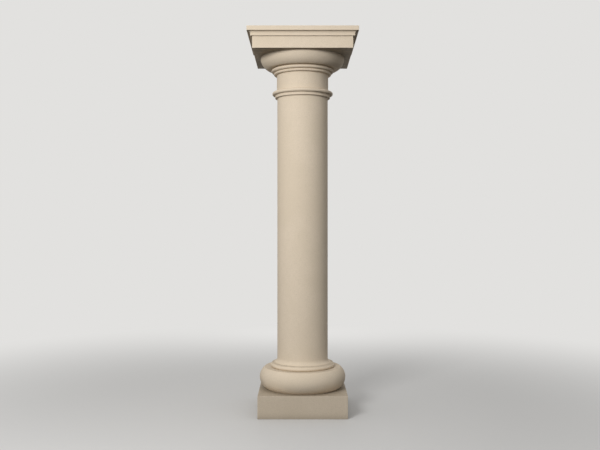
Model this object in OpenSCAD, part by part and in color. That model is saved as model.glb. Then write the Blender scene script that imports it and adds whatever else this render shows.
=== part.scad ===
// Column with a square plinth, a rounded base, a plain shaft and a moulded capital.
// +Z is up. The origin is the centre of the plinth's underside.
// Every moulding is given by its height and by how far it stands out from the
// shaft or the neck, so all of them follow when the shaft's diameter changes.

/* [Shaft] */
// Diameter of the plain shaft
shaft_d = 327; // [240:2:420]
// Height of the shaft stone, from the bed on the base to the bed under the neck
shaft_h = 1776; // [900:1:2600]
// Height of the round bead at the foot of the shaft
foot_bead_h = 24; // [12:1:30]
// How far the foot bead stands out from the shaft
foot_bead_out = 42.5; // [36:0.5:60]
// Height of the thin fillet on top of the foot bead
fillet_h = 3; // [2:0.5:10]
// Ledge between the fillet's face and the cove above it
fillet_ledge = 3; // [1:0.5:6]
// Radius of the cove that runs from the fillet into the shaft
foot_cove_r = 32; // [10:1:34]
// Radius of the cove that runs from the shaft out to the upper band
top_cove_r = 8; // [4:1:15]
// Ledge between the upper cove and the upper band's face
top_band_ledge = 6.5; // [0.5:0.5:8]
// Height of the flat band under the astragal
top_band_h = 18; // [8:1:30]
// Height of the astragal, the round bead that ends the shaft
astragal_h = 22; // [14:1:30]
// How far the astragal stands out from the shaft
astragal_out = 33; // [26:1:50]

/* [Base] */
// Height of the square plinth
plinth_h = 141; // [80:1:220]
// How far the plinth's face stands out beyond the widest line of the base
plinth_margin = 0.5; // [0:0.5:30]
// How far the base stands out from the shaft at its widest
base_out = 114; // [95:1:150]
// Radius of the base's round, a circle cut flat above and below
base_round_r = 80; // [76:1:95]
// Height from the plinth to the widest line of the base
base_low_h = 70; // [50:1:75]
// Height from the widest line to the flat top of the base
base_up_h = 65; // [40:1:75]

/* [Capital] */
// How far the neck stands out from the shaft
neck_out = 3; // [0:0.5:10]
// Height of the plain neck
neck_h = 108; // [40:1:160]
// Height of the lower annulet, one of the two beads under the echinus
low_annulet_h = 17; // [12:1:22]
// How far the lower annulet stands out from the neck
low_annulet_out = 20; // [14:1:24]
// Height of the upper annulet
up_annulet_h = 22; // [14:1:28]
// How far the upper annulet stands out from the neck
up_annulet_out = 35; // [30:1:40]
// How far the echinus stands out from the neck at its top
echinus_out = 105.5; // [95:0.5:140]
// Height of the echinus
echinus_h = 73; // [55:1:74]
// Radius of the echinus's curve, which is upright at its top
echinus_r = 80; // [75:1:90]

/* [Abacus] */
// How far the abacus's plain face stands out beyond the echinus
abacus_margin = 36.5; // [10:0.5:60]
// Height of the plain face
face_h = 72; // [40:1:110]
// How far the lower band stands out from the plain face
low_band_out = 11; // [4:1:20]
// Height of the lower band
low_band_h = 12; // [6:1:20]
// Radius of the hollow between the two bands
hollow_r = 14; // [6:1:20]
// Upright part of the hollow, below its curve
hollow_upright_h = 2; // [0:1:10]
// Ledge between the hollow's upper edge and the crowning band
crown_ledge = 7.5; // [1:0.5:15]
// Height of the crowning band
crown_h = 28; // [15:1:45]

/* [Hidden] */
STONE = "#E1D2BC";
$fn = 128;

// Radii from the axis
shaft_r = shaft_d / 2;
foot_bead_r = shaft_r + foot_bead_out;
fillet_r = shaft_r + foot_cove_r + fillet_ledge;
top_band_r = shaft_r + top_cove_r + top_band_ledge;
astragal_r = shaft_r + astragal_out;
base_r = shaft_r + base_out;
neck_r = shaft_r + neck_out;
echinus_top_r = neck_r + echinus_out;

// Half widths of the square slabs
plinth_half = base_r + plinth_margin;
face_half = echinus_top_r + abacus_margin;
low_band_half = face_half + low_band_out;
crown_half = low_band_half + hollow_r + crown_ledge;

// Heights of the stones
base_h = base_low_h + base_up_h;
hollow_h = hollow_upright_h + hollow_r;
up_annulet_z = neck_h + low_annulet_h;
echinus_z = up_annulet_z + up_annulet_h;
abacus_z = echinus_z + echinus_h;

// Beds, where one stone stands on another
base_bed = plinth_h;
shaft_bed = base_bed + base_h;
capital_bed = shaft_bed + shaft_h;

// Half section of a plain disc, from the axis out to a radius
module band(radius, z, height) {
    translate([0, z]) square([radius, height]);
}

// Half section of a disc with a full round nose
module bead(radius, z, height) {
    band(radius - height / 2, z, height);
    translate([radius - height / 2, z + height / 2]) circle(d = height);
}

// Half section of a disc whose edge is an arc that is upright at arc_z and runs
// up from there when rise is positive, or down from there when it is negative
module round_edge(radius, arc_r, arc_z, rise) {
    low_z = min(arc_z, arc_z + rise);
    band(radius - arc_r, low_z, abs(rise));
    intersection() {
        translate([radius - arc_r, arc_z]) circle(r = arc_r);
        band(radius, low_z, abs(rise));
    }
}

// Half section of a cove against an upright face, widest at its foot
module cove(face_r, cove_r) {
    difference() {
        translate([face_r, 0]) square(cove_r);
        translate([face_r + cove_r, cove_r]) circle(r = cove_r);
    }
}

module plinth() {
    color(STONE)
        translate([-plinth_half, -plinth_half, 0])
            cube([2 * plinth_half, 2 * plinth_half, plinth_h]);
}

module base() {
    color(STONE)
        translate([0, 0, base_bed])
            rotate_extrude() {
                round_edge(base_r, base_round_r, base_low_h, -base_low_h);
                round_edge(base_r, base_round_r, base_low_h, base_up_h);
            }
}

module shaft() {
    foot_cove_z = foot_bead_h + fillet_h;
    top_band_z = shaft_h - astragal_h - top_band_h;
    color(STONE)
        translate([0, 0, shaft_bed])
            rotate_extrude() {
                band(shaft_r, 0, shaft_h);
                bead(foot_bead_r, 0, foot_bead_h);
                band(fillet_r, foot_bead_h, fillet_h);
                translate([0, foot_cove_z]) cove(shaft_r, foot_cove_r);
                translate([0, top_band_z]) mirror([0, 1]) cove(shaft_r, top_cove_r);
                band(top_band_r, top_band_z, top_band_h);
                bead(astragal_r, shaft_h - astragal_h, astragal_h);
            }
}

// Neck, annulets and echinus
module capital_bell() {
    rotate_extrude() {
        band(neck_r, 0, echinus_z);
        bead(neck_r + low_annulet_out, neck_h, low_annulet_h);
        bead(neck_r + up_annulet_out, up_annulet_z, up_annulet_h);
        round_edge(echinus_top_r, echinus_r, abacus_z, -echinus_h);
    }
}

// Full section of the abacus, from one side to the other
module abacus_section() {
    hollow_z = face_h + low_band_h;
    hollow_top = hollow_z + hollow_h;
    translate([-face_half, 0]) square([2 * face_half, face_h]);
    translate([-low_band_half, face_h]) square([2 * low_band_half, low_band_h + hollow_h]);
    for (side = [0, 1])
        mirror([side, 0])
            translate([low_band_half, hollow_top])
                mirror([0, 1]) cove(0, hollow_r);
    translate([-crown_half, hollow_top]) square([2 * crown_half, crown_h]);
}

// The section runs round all four sides and meets in mitres at the corners
module abacus() {
    intersection_for (turn = [0, 90])
        rotate([90, 0, turn])
            linear_extrude(height = 2 * crown_half, center = true)
                abacus_section();
}

module capital() {
    color(STONE)
        translate([0, 0, capital_bed]) {
            capital_bell();
            translate([0, 0, abacus_z]) abacus();
        }
}

plinth();
base();
shaft();
capital();
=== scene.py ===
# %% [markdown]
# # A Doric column in four stones
# This lesson builds a full-size stone column: a square plinth, a rounded base, a plain
# round shaft and a capital with a square top. The four blocks are already fixed in place
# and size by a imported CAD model. Here each one is cut again as a clean mesh with softened
# edges, given a limestone finish, and lit as in a studio.

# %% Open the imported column
import math
import bpy
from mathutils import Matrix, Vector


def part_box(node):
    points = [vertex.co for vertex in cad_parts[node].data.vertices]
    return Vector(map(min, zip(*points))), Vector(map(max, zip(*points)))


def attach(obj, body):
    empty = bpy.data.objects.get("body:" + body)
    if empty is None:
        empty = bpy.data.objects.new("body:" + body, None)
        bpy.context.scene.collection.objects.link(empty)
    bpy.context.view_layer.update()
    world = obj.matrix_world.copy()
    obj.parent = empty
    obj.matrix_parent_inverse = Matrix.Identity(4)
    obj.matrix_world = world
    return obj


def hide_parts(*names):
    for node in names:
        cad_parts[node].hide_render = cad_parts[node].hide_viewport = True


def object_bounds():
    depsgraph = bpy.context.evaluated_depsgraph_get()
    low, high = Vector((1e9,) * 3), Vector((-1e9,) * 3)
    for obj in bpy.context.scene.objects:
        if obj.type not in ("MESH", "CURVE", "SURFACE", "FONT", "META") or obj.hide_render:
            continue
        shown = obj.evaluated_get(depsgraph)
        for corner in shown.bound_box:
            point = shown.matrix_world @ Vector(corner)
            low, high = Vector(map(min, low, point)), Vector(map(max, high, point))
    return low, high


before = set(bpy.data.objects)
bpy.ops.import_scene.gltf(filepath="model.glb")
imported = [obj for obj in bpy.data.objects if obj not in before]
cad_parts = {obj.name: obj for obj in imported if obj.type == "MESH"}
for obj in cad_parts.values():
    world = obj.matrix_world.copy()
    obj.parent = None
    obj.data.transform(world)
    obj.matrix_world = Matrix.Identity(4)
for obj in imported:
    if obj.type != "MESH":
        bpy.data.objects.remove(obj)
cad_low, cad_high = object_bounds()
print("column height", round(cad_high.z - cad_low.z, 4), "m, nodes", sorted(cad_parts))

# %% [markdown]
# ## How a mason's profile becomes a mesh
# A mason cuts every moulding from one drawn profile: a turned stone spins the profile
# round an axis, and a square stone runs it along four sides. A lathe modifier could spin
# the round ones, but the capital is round below and square above, in one block. So both
# kinds are made the same way here: rings of points, one ring for each point of the
# profile, with the same number of points in a round ring and in a square one. Then any
# ring can be joined to the next, and the round bell grows into the square slab cleanly.

# %% Where the points of a ring sit
SIDE_STEPS = 44
CORNER_STEPS = 4
SIDE_REACH = math.radians(44)
CORNER_REACH = math.radians(1)
CORNER_R = 0.0025


def round_ring(radius, height):
    """One turn of points, spaced so that each has a partner on a square ring."""
    bearings = []
    for quarter in range(4):
        middle = quarter * math.pi / 2
        bearings += [middle + SIDE_REACH * (2 * i / SIDE_STEPS - 1) for i in range(1, SIDE_STEPS)]
        corner = middle + math.pi / 4
        bearings += [corner + CORNER_REACH * (2 * i / CORNER_STEPS - 1) for i in range(CORNER_STEPS + 1)]
    return [(radius * math.cos(b), radius * math.sin(b), height) for b in bearings]


def square_ring(half, height):
    """One square turn of points, with its four upright edges slightly rounded."""
    ring = []
    straight = half - CORNER_R
    for quarter in range(4):
        turn = quarter * math.pi / 2
        points = []
        for i in range(1, SIDE_STEPS):
            bearing = SIDE_REACH * (2 * i / SIDE_STEPS - 1)
            points.append((half, straight * math.tan(bearing) / math.tan(SIDE_REACH)))
        for i in range(CORNER_STEPS + 1):
            bearing = math.pi / 2 * i / CORNER_STEPS
            points.append((straight + CORNER_R * math.cos(bearing), straight + CORNER_R * math.sin(bearing)))
        turn_cos = math.cos(turn)
        turn_sin = math.sin(turn)
        ring += [(x * turn_cos - y * turn_sin, x * turn_sin + y * turn_cos, height) for x, y in points]
    return ring


print("points in a ring:", len(round_ring(1, 0)), "round,", len(square_ring(1, 0)), "square")

# %% [markdown]
# ## Drawing the profile
# A profile is a short list of corners, read upwards, with the round stretches filled in
# as arcs. Real arrises are never knife sharp: the mason draws a rubbing stone along them.
# That thin rounded edge is what catches a line of light, so every corner that stands out
# is eased by a millimetre or two, and every hollow corner stays crisp.

# %% Arcs and eased corners
ARRIS = 0.0016
ARRIS_STEPS = 3
SHARP_TURN = math.radians(25)


def bow(centre_r, centre_z, radius, start, end, steps):
    """Points along an arc, from one bearing to the other in degrees. 0 points outwards."""
    bearings = [math.radians(start + (end - start) * i / steps) for i in range(steps + 1)]
    return [(centre_r + radius * math.cos(b), centre_z + radius * math.sin(b)) for b in bearings]


def eased(profile):
    """The same profile with each standing corner rounded off to the arris radius."""
    result = [profile[0]]
    for before, here, after in zip(profile, profile[1:], profile[2:]):
        way_in = math.atan2(here[1] - before[1], here[0] - before[0])
        way_out = math.atan2(after[1] - here[1], after[0] - here[0])
        turn = math.remainder(way_out - way_in, math.tau)
        if turn < SHARP_TURN:
            result.append(here)
            continue
        back = ARRIS * math.tan(turn / 2)
        centre_r = here[0] - back * math.cos(way_in) - ARRIS * math.sin(way_in)
        centre_z = here[1] - back * math.sin(way_in) + ARRIS * math.cos(way_in)
        start = math.degrees(way_in) - 90
        result += bow(centre_r, centre_z, ARRIS, start, start + math.degrees(turn), ARRIS_STEPS)
    return result + [profile[-1]]


print("a square corner becomes", len(eased([(0, 0), (1, 0), (1, 1), (0, 1)])) - 2, "points")

# %% [markdown]
# ## From rings to a stone
# The skin between two rings is a band of four-sided faces, and one flat face closes each
# bed. Smooth shading with weighted normals keeps the flat faces flat and bends the light
# only over the eased edges, as on rubbed stone.

# %% Skinning a stone
CREASE = math.radians(40)


def stone(name, rings, node):
    """A closed block from its rings, in place of the CAD node it stands for."""
    count = len(rings[0])
    points = [point for ring in rings for point in ring]
    faces = [tuple(reversed(range(count)))]
    for level in range(len(rings) - 1):
        low = level * count
        high = low + count
        for i in range(count):
            j = (i + 1) % count
            faces.append((low + i, low + j, high + j, high + i))
    faces.append(tuple(range((len(rings) - 1) * count, len(rings) * count)))
    mesh = bpy.data.meshes.new(name)
    mesh.from_pydata(points, [], faces)
    mesh.shade_smooth()
    mesh.set_sharp_from_angle(angle=CREASE)
    piece = bpy.data.objects.new(name, mesh)
    bpy.context.scene.collection.objects.link(piece)
    piece.modifiers.new("even light", "WEIGHTED_NORMAL").keep_sharp = True
    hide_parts(node)
    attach(piece, "root")
    print(name, "has", len(rings), "rings and", len(faces), "faces")
    return piece


# %% [markdown]
# ## The plinth
# The plinth is a plain square slab, sawn and rubbed, that spreads the load on the floor.
# A cube with a bevel would do for it. Made from square rings, it shares the eased arris
# of the other stones.

# %% Cut the plinth
plinth_low, plinth_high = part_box("plinth")
plinth_profile = eased([
    (0, plinth_low.z), (plinth_high.x, plinth_low.z), (plinth_high.x, plinth_high.z), (0, plinth_high.z),
])[1:-1]
plinth = stone("plinth_stone", [square_ring(r, z) for r, z in plinth_profile], "plinth")

# %% [markdown]
# ## The base
# The base is one big round moulding, a torus, as wide as the plinth. It isn't a full half
# circle: the two beds cut the circle off flat, above and below, which gives the blocks
# broad faces to stand on. So one arc makes it, from bed to bed through the widest line.

# %% Turn the base
BASE_ROUND_R = 0.080
WIDEST_H = 0.070
BASE_STEPS = 48

base_low, base_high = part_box("base")
widest_z = base_low.z + WIDEST_H
low_end = -math.degrees(math.asin(WIDEST_H / BASE_ROUND_R))
up_end = math.degrees(math.asin((base_high.z - widest_z) / BASE_ROUND_R))
base_profile = eased([
    (0, base_low.z),
    *bow(base_high.x - BASE_ROUND_R, widest_z, BASE_ROUND_R, low_end, up_end, BASE_STEPS),
    (0, base_high.z),
])[1:-1]
base = stone("base_stone", [round_ring(r, z) for r, z in base_profile], "base")

# %% [markdown]
# ## The shaft
# The shaft stone starts with a round bead under a thin fillet, sweeps in through a hollow
# called the apophyge, runs up plain, and steps out again to a narrow band and a second
# bead, the astragal. It has no flutes and no taper. All of it is turned from one block,
# so one profile makes it. The fillet covers the inner part of the foot bead's top, and the
# bead's arc stops where the fillet's face begins.

# %% Turn the shaft
FOOT_BEAD_H = 0.024
FOOT_BEAD_OUT = 0.0425
FILLET_H = 0.003
FILLET_LEDGE = 0.003
FOOT_COVE_R = 0.032
TOP_COVE_R = 0.008
TOP_LEDGE = 0.0065
TOP_BAND_H = 0.018
ASTRAGAL_H = 0.022
ASTRAGAL_OUT = 0.033
BEAD_STEPS = 16
FOOT_COVE_STEPS = 16
TOP_COVE_STEPS = 12

shaft_low, shaft_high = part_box("shaft")
shaft_r = shaft_high.x - FOOT_BEAD_OUT
foot_nose = FOOT_BEAD_H / 2
foot_bead_centre = shaft_high.x - foot_nose
fillet_r = shaft_r + FOOT_COVE_R + FILLET_LEDGE
fillet_z = shaft_low.z + FOOT_BEAD_H
foot_cove_z = fillet_z + FILLET_H
bead_end = math.degrees(math.acos((fillet_r - foot_bead_centre) / foot_nose))
astragal_z = shaft_high.z - ASTRAGAL_H
top_band_z = astragal_z - TOP_BAND_H
top_band_r = shaft_r + TOP_COVE_R + TOP_LEDGE
astragal_nose = ASTRAGAL_H / 2
astragal_centre = shaft_r + ASTRAGAL_OUT - astragal_nose
shaft_profile = eased([
    (0, shaft_low.z),
    *bow(foot_bead_centre, shaft_low.z + foot_nose, foot_nose, -90, bead_end, BEAD_STEPS),
    (fillet_r, fillet_z),
    (fillet_r, foot_cove_z),
    *bow(shaft_r + FOOT_COVE_R, foot_cove_z + FOOT_COVE_R, FOOT_COVE_R, 270, 180, FOOT_COVE_STEPS),
    *bow(shaft_r + TOP_COVE_R, top_band_z - TOP_COVE_R, TOP_COVE_R, 180, 90, TOP_COVE_STEPS),
    (top_band_r, top_band_z),
    (top_band_r, astragal_z),
    *bow(astragal_centre, astragal_z + astragal_nose, astragal_nose, -90, 90, BEAD_STEPS),
    (0, shaft_high.z),
])[1:-1]
shaft = stone("shaft_stone", [round_ring(r, z) for r, z in shaft_profile], "shaft")

# %% [markdown]
# ## The capital
# The capital is carved from one block. Its plain neck is a shade wider than the shaft.
# Two beads, the annulets, ring its top, and over them the echinus swells out to carry
# the square abacus. The abacus has a plain face, a narrow band, a hollow and a crowning
# band. Round rings build the bell, and the first square ring, the edge of the soffit,
# turns it into the slab.

# %% Carve the capital
NECK_OUT = 0.003
NECK_H = 0.108
LOW_ANNULET_H = 0.017
LOW_ANNULET_OUT = 0.020
UP_ANNULET_H = 0.022
UP_ANNULET_OUT = 0.035
ECHINUS_OUT = 0.1055
ECHINUS_H = 0.073
ECHINUS_R = 0.080
SOFFIT_MARGIN = 0.0365
FACE_H = 0.072
LOW_BAND_OUT = 0.011
LOW_BAND_H = 0.012
HOLLOW_R = 0.014
HOLLOW_UPRIGHT = 0.002
ANNULET_STEPS = 12
ECHINUS_STEPS = 24
HOLLOW_STEPS = 10

capital_low, capital_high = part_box("capital")
neck_r = shaft_r + NECK_OUT
neck_top = capital_low.z + NECK_H
up_annulet_z = neck_top + LOW_ANNULET_H
echinus_z = up_annulet_z + UP_ANNULET_H
low_nose = LOW_ANNULET_H / 2
up_nose = UP_ANNULET_H / 2
soffit_z = echinus_z + ECHINUS_H
echinus_r = neck_r + ECHINUS_OUT
echinus_start = -math.degrees(math.asin(ECHINUS_H / ECHINUS_R))
bell_profile = eased([
    (0, capital_low.z),
    (neck_r, capital_low.z),
    (neck_r, neck_top),
    *bow(neck_r + LOW_ANNULET_OUT - low_nose, neck_top + low_nose, low_nose, -90, 90, ANNULET_STEPS),
    *bow(neck_r + UP_ANNULET_OUT - up_nose, up_annulet_z + up_nose, up_nose, -90, 90, ANNULET_STEPS),
    *bow(echinus_r - ECHINUS_R, soffit_z, ECHINUS_R, echinus_start, 0, ECHINUS_STEPS),
])[1:]

face_half = echinus_r + SOFFIT_MARGIN
band_half = face_half + LOW_BAND_OUT
face_top = soffit_z + FACE_H
hollow_z = face_top + LOW_BAND_H + HOLLOW_UPRIGHT
crown_z = hollow_z + HOLLOW_R
crown_half = capital_high.x
slab_profile = eased([
    (0, soffit_z),
    (face_half, soffit_z),
    (face_half, face_top),
    (band_half, face_top),
    *bow(band_half + HOLLOW_R, hollow_z, HOLLOW_R, 180, 90, HOLLOW_STEPS),
    (crown_half, crown_z),
    (crown_half, capital_high.z),
    (0, capital_high.z),
])[1:-1]
bell_rings = [round_ring(r, z) for r, z in bell_profile]
slab_rings = [square_ring(r, z) for r, z in slab_profile]
capital = stone("capital_stone", bell_rings + slab_rings, "capital")

# %% [markdown]
# ## The limestone
# The column is a fine, cream limestone, rubbed smooth and left matt. Seen close it is
# packed grain; seen from a few steps it has soft clouds a little warmer or paler than
# the rest. An image would repeat and stretch over the mouldings, so the stone is built
# from solid noise in real metres, which runs through the block as the real grain does.
# Each block gets its own shift, because no two blocks come from the same spot in the bed,
# and its own tone: the plinth is darker than the rest.
#
# Painted light and shade go on top of that. Sheltered hollows get painted shade, ledges get
# dust and painted shade, the soffit under the abacus gets painted shade, and the arrises are
# paler, part rubbed wear and part painted highlight. Which way a face looks tells ledge from
# soffit. Ambient occlusion finds the rest: looking out of the stone it is low in a hollow,
# and into the stone, at an arris.


# %% Small helpers for wiring a material
def wire(tree, source, target):
    tree.links.new(source, target)


def noise(tree, coords, per_metre, detail):
    """Solid noise with so many blobs to the metre."""
    made = tree.nodes.new("ShaderNodeTexNoise")
    made.inputs["Scale"].default_value = per_metre
    made.inputs["Detail"].default_value = detail
    wire(tree, coords, made.inputs["Vector"])
    return made.outputs["Fac"]


def maths(tree, operation, *values):
    """One sum on other nodes' outputs, such as a product or the larger of two."""
    made = tree.nodes.new("ShaderNodeMath")
    made.operation = operation
    for slot, value in enumerate(values):
        wire(tree, value, made.inputs[slot])
    return made.outputs[0]


def spread(tree, value, low, high, to_low, to_high):
    """Stretches a value from one range to another, with soft ends."""
    made = tree.nodes.new("ShaderNodeMapRange")
    made.interpolation_type = "SMOOTHSTEP"
    for slot, number in zip(("From Min", "From Max", "To Min", "To Max"), (low, high, to_low, to_high)):
        made.inputs[slot].default_value = number
    wire(tree, value, made.inputs["Value"])
    return made.outputs["Result"]


def tint(tree, amount, under, over):
    """Lays one colour over another. Each may be a plain colour or another node's output."""
    made = tree.nodes.new("ShaderNodeMix")
    made.data_type = "RGBA"
    for slot, value in ((0, amount), (6, under), (7, over)):
        if isinstance(value, bpy.types.NodeSocket):
            wire(tree, value, made.inputs[slot])
        else:
            made.inputs[slot].default_value = value
    return made.outputs[2]


def colour(red, green, blue):
    """A linear colour from the 0 to 255 values of a paint chart."""
    values = []
    for part in (red, green, blue):
        share = part / 255
        values.append(share / 12.92 if share <= 0.04045 else ((share + 0.055) / 1.055) ** 2.4)
    return (*values, 1)


print("cream stone as linear light:", [round(part, 3) for part in colour(226, 211, 189)])

# %% The colours of the stone, of its painted shade and highlight, and how big its marks are
PALE_CREAM = colour(229, 213, 191)
WARM_CREAM = colour(224, 208, 185)
GRAIN_DARK = colour(206, 191, 168)
# Paler arrises: part rubbed wear, part a painted highlight.
ARRIS_WEAR_AND_HIGHLIGHT = colour(238, 226, 208)
# Painted shade in hollows and under the soffit, and dust with painted shade on ledges.
SHADE_AND_DUST = colour(136, 124, 106)
# How strongly the soffit under the abacus is painted in shade.
SOFFIT_SHADE = 0.7
PLINTH_TONE = 0.81
CLOUDS_PER_M = 4.5
MOTTLE_PER_M = 34
GRAIN_PER_M = 300
ARRIS_REACH = 0.005
HOLLOW_REACH = 0.08
LOOKS_AROUND = 8
# Above this height a downward face is the soffit, and not the underside of an annulet.
BELL_TOP_LOW = soffit_z - 0.02
BELL_TOP_HIGH = soffit_z - 0.005
GRAIN_STRENGTH = 0.25
GRAIN_DEPTH = 0.0004
SHINE = 0.15
ROUGH_LOW = 0.80
ROUGH_HIGH = 0.95

print("grain is about", round(1000 / GRAIN_PER_M, 1), "mm across, clouds", round(1000 / CLOUDS_PER_M), "mm")


# %% Find the hollows, arrises and ledges
def sheltered(tree, reach, inside=False):
    """How open a spot is, from 0 to 1, looking out of the stone or into it."""
    made = tree.nodes.new("ShaderNodeAmbientOcclusion")
    made.samples = LOOKS_AROUND
    made.inside = inside
    made.inputs["Distance"].default_value = reach
    return made.outputs["AO"]


def upward(tree, vector):
    """The Z part of a vector: a point's height, or how far a face looks up or down."""
    made = tree.nodes.new("ShaderNodeSeparateXYZ")
    wire(tree, vector, made.inputs["Vector"])
    return made.outputs["Z"]


def shaded(paint, tone):
    """The same colour, darker or lighter."""
    return (*[part * tone for part in paint[:3]], 1)


print("the plinth's darker cream:", [round(part, 3) for part in shaded(PALE_CREAM, PLINTH_TONE)[:3]])


# %% Mix the limestone
def limestone(name, shift, tone, hollow_shade, ledge_dust_and_shade):
    """Matt cream limestone. The shift moves the block to its own place in the quarry."""
    made = bpy.data.materials.new(name)
    made.use_nodes = True
    tree = made.node_tree
    shader = tree.nodes["Principled BSDF"]
    place = tree.nodes.new("ShaderNodeTexCoord")
    moved = tree.nodes.new("ShaderNodeMapping")
    moved.inputs["Location"].default_value = shift
    wire(tree, place.outputs["Object"], moved.inputs["Vector"])
    coords = moved.outputs["Vector"]

    clouds = spread(tree, noise(tree, coords, CLOUDS_PER_M, detail=4), 0.36, 0.64, 0, 1)
    mottle_noise = noise(tree, coords, MOTTLE_PER_M, detail=3)
    mottle = spread(tree, mottle_noise, 0.35, 0.65, 0, 0.36)
    grain_noise = noise(tree, coords, GRAIN_PER_M, detail=4)
    grain = spread(tree, grain_noise, 0.42, 0.70, 0, 0.55)
    body = tint(tree, clouds, shaded(WARM_CREAM, tone), shaded(PALE_CREAM, tone))
    body = tint(tree, mottle, body, shaded(WARM_CREAM, tone))
    body = tint(tree, grain, body, shaded(GRAIN_DARK, tone))

    # Paler arrises, found by ambient occlusion looking into the stone: part rubbed wear, part a painted
    # highlight.
    pale_arris = spread(tree, sheltered(tree, ARRIS_REACH, inside=True), 0.45, 0.95, 0.5, 0)
    body = tint(tree, pale_arris, body, shaded(ARRIS_WEAR_AND_HIGHLIGHT, tone))
    # Hollows, found by ambient occlusion, are painted darker: painted shade.
    hollows = spread(tree, sheltered(tree, HOLLOW_REACH), 0.3, 0.85, hollow_shade, 0)
    body = tint(tree, hollows, body, SHADE_AND_DUST)
    facing = upward(tree, place.outputs["Normal"])
    # Faces that look up are darker: part dust, part painted shade.
    ledges = spread(tree, facing, 0.8, 1.0, 0, ledge_dust_and_shade)
    # Faces that look down, just under the abacus, are darker: painted shade.
    soffits = spread(tree, facing, -1.0, -0.9, SOFFIT_SHADE, 0)
    height = upward(tree, place.outputs["Object"])
    bell_top = spread(tree, height, BELL_TOP_LOW, BELL_TOP_HIGH, 0, 1)
    # Upward faces get dust and painted shade, the soffit painted shade, both in patches.
    level = maths(tree, "MAXIMUM", ledges, maths(tree, "MULTIPLY", soffits, bell_top))
    patchy = spread(tree, mottle_noise, 0.3, 0.7, 0.7, 1)
    body = tint(tree, maths(tree, "MULTIPLY", level, patchy), body, SHADE_AND_DUST)
    wire(tree, body, shader.inputs["Base Color"])

    wire(tree, spread(tree, grain_noise, 0.3, 0.7, ROUGH_LOW, ROUGH_HIGH), shader.inputs["Roughness"])
    shader.inputs["Specular IOR Level"].default_value = SHINE
    bump = tree.nodes.new("ShaderNodeBump")
    bump.inputs["Strength"].default_value = GRAIN_STRENGTH
    bump.inputs["Distance"].default_value = GRAIN_DEPTH
    wire(tree, grain_noise, bump.inputs["Height"])
    wire(tree, bump.outputs["Normal"], shader.inputs["Normal"])
    print(name, "has", len(tree.nodes), "nodes")
    return made


# %% Give each block its stone
QUARRY_STEP_X = 3.1
QUARRY_STEP_Y = 1.7


def give_stone(block, number, tone, hollow_shade, ledge_dust_and_shade):
    """Cuts a numbered block from its own spot in the quarry. The hollow shade and the ledge dust and shade
    are each a share, 0 to 1.
    """
    name = block.name.replace("_stone", "_limestone")
    shift = (number * QUARRY_STEP_X, number * QUARRY_STEP_Y, 0)
    block.data.materials.append(limestone(name, shift, tone, hollow_shade, ledge_dust_and_shade))
    print(block.name, "is cut from", name)


give_stone(plinth, 0, tone=PLINTH_TONE, hollow_shade=0.6, ledge_dust_and_shade=0.45)
give_stone(base, 1, tone=0.96, hollow_shade=0.0, ledge_dust_and_shade=0.25)
give_stone(shaft, 2, tone=1.0, hollow_shade=0.0, ledge_dust_and_shade=0.5)
give_stone(capital, 3, tone=1.0, hollow_shade=0.0, ledge_dust_and_shade=0.3)

# %% [markdown]
# ## The floor and the backdrop
# The studio is a pale floor that melts into a pale backdrop. A curved paper sweep would
# hide the column from behind, so the floor is a wide disc that fades into the colour of
# the world with distance. For rays of light that bounce, the floor is made darker than
# it looks: that keeps the underside of the abacus in shade, as over a dark floor.

# %% Lay the floor
BACKDROP = colour(226, 225, 223)
FLOOR_PAINT = colour(214, 213, 211)
FLOOR_BOUNCE = colour(42, 41, 40)
FLOOR_RADIUS = 16.0
FLOOR_SIDES = 96
FADE_START = 1.2
FADE_END = 4.2

bpy.ops.mesh.primitive_circle_add(vertices=FLOOR_SIDES, radius=FLOOR_RADIUS, fill_type="NGON")
floor = bpy.context.object
floor.name = "studio_floor"


def shown_directly(tree):
    """1 for rays that show the surface itself, 0 for rays that only carry bounced light."""
    path = tree.nodes.new("ShaderNodeLightPath")
    total = path.outputs["Is Camera Ray"]
    for kind in ("Is Glossy Ray", "Is Transmission Ray"):
        total = maths(tree, "MAXIMUM", total, path.outputs[kind])
    return total


def blend_shaders(tree, amount, first, second):
    made = tree.nodes.new("ShaderNodeMixShader")
    wire(tree, amount, made.inputs[0])
    wire(tree, first, made.inputs[1])
    wire(tree, second, made.inputs[2])
    return made.outputs[0]


def plain_shader(tree, kind, paint):
    made = tree.nodes.new(kind)
    made.inputs["Color"].default_value = paint
    return made.outputs[0]


floor_paint = bpy.data.materials.new("floor_paint")
floor_paint.use_nodes = True
tree = floor_paint.node_tree
tree.nodes.remove(tree.nodes["Principled BSDF"])
place = tree.nodes.new("ShaderNodeTexCoord")
distance = tree.nodes.new("ShaderNodeVectorMath")
distance.operation = "LENGTH"
wire(tree, place.outputs["Object"], distance.inputs[0])
fade = spread(tree, distance.outputs["Value"], FADE_START, FADE_END, 0, 1)
near = plain_shader(tree, "ShaderNodeBsdfDiffuse", FLOOR_PAINT)
far = plain_shader(tree, "ShaderNodeEmission", BACKDROP)
seen = blend_shaders(tree, fade, near, far)
unseen = plain_shader(tree, "ShaderNodeBsdfDiffuse", FLOOR_BOUNCE)
floor_look = blend_shaders(tree, shown_directly(tree), unseen, seen)
wire(tree, floor_look, tree.nodes["Material Output"].inputs["Surface"])
floor.data.materials.append(floor_paint)
print("floor", FLOOR_RADIUS, "m in radius, fading from", FADE_START, "to", FADE_END, "m")

# %% Fill the world with soft light
SKY_STRENGTH = 0.50

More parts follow.
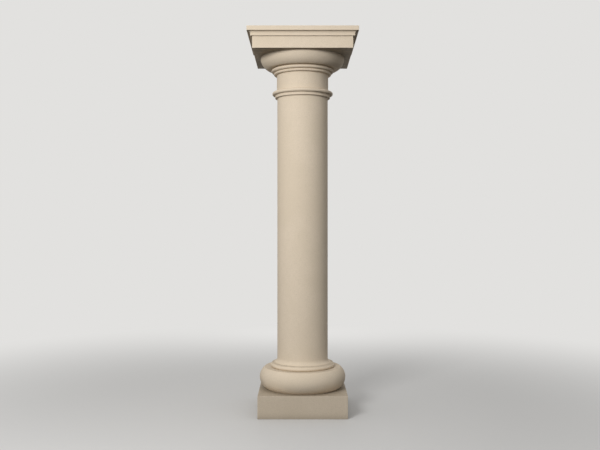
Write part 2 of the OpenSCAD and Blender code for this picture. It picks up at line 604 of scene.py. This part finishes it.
world = bpy.data.worlds.new("studio")
bpy.context.scene.world = world
world.use_nodes = True
tree = world.node_tree
soft = tree.nodes["Background"]
soft.inputs["Color"].default_value = (1, 1, 1, 1)
soft.inputs["Strength"].default_value = SKY_STRENGTH
backdrop = tree.nodes.new("ShaderNodeBackground")
backdrop.inputs["Color"].default_value = BACKDROP
sky = blend_shaders(tree, shown_directly(tree), soft.outputs[0], backdrop.outputs[0])
wire(tree, sky, tree.nodes["World Output"].inputs["Surface"])
print("sky light", SKY_STRENGTH)

# %% [markdown]
# ## The lamps
# Three soft boxes light the column, because broad lamps give soft edges to the shadows
# under the mouldings. The key stands to the left of the camera, just above the soffit, so
# it turns the shaft from light to shade and leaves the soffit dark. A low one, far off,
# reaches under the base's round and the bell. The last, behind, lifts the far side for
# anyone who walks round.


# %% Hang the lamps
def lamp(name, bearing, away, height, aim_height, wide, tall, power):
    """A soft box. The bearing is in degrees from the front, with the left positive."""
    data = bpy.data.lights.new(name, "AREA")
    data.shape = "RECTANGLE"
    data.size = wide
    data.size_y = tall
    data.energy = power
    made = bpy.data.objects.new(name, data)
    turn = math.radians(bearing)
    made.location = (-away * math.sin(turn), -away * math.cos(turn), height)
    drop = math.atan2(height - aim_height, away)
    made.rotation_euler = (math.pi / 2 - drop, 0, -turn)
    made.visible_camera = False
    bpy.context.scene.collection.objects.link(made)
    print(name, "at", [round(part, 2) for part in made.location], power, "W")


lamp("key_lamp", bearing=27, away=4.0, height=2.69, aim_height=1.8, wide=1.4, tall=0.7, power=96)
lamp("low_lamp", bearing=20, away=7.0, height=0.5, aim_height=0.6, wide=1.6, tall=1.0, power=38)
lamp("back_lamp", bearing=180, away=4.2, height=1.3, aim_height=1.2, wide=2.0, tall=2.0, power=40)

# %% [markdown]
# ## The camera
# The camera stands square in front at half the column's height and looks level, so the
# upright edges stay parallel. From there the top of the plinth and the underside of the
# abacus both show as narrow slivers.

# %% Place the camera
LENS = 45
SENSOR = 36
EYE_SHARE = 0.4966
CAMERA_AWAY = 4.878
CAMERA_ASIDE = -0.0166

camera_data = bpy.data.cameras.new("camera")
camera_data.lens = LENS
camera_data.sensor_width = SENSOR
camera = bpy.data.objects.new("camera", camera_data)
camera.location = (CAMERA_ASIDE, -CAMERA_AWAY, cad_high.z * EYE_SHARE)
camera.rotation_euler = (math.pi / 2, 0, 0)
bpy.context.scene.collection.objects.link(camera)
bpy.context.scene.camera = camera
bpy.context.scene.view_settings.view_transform = "Standard"
print("camera at", [round(part, 3) for part in camera.location])
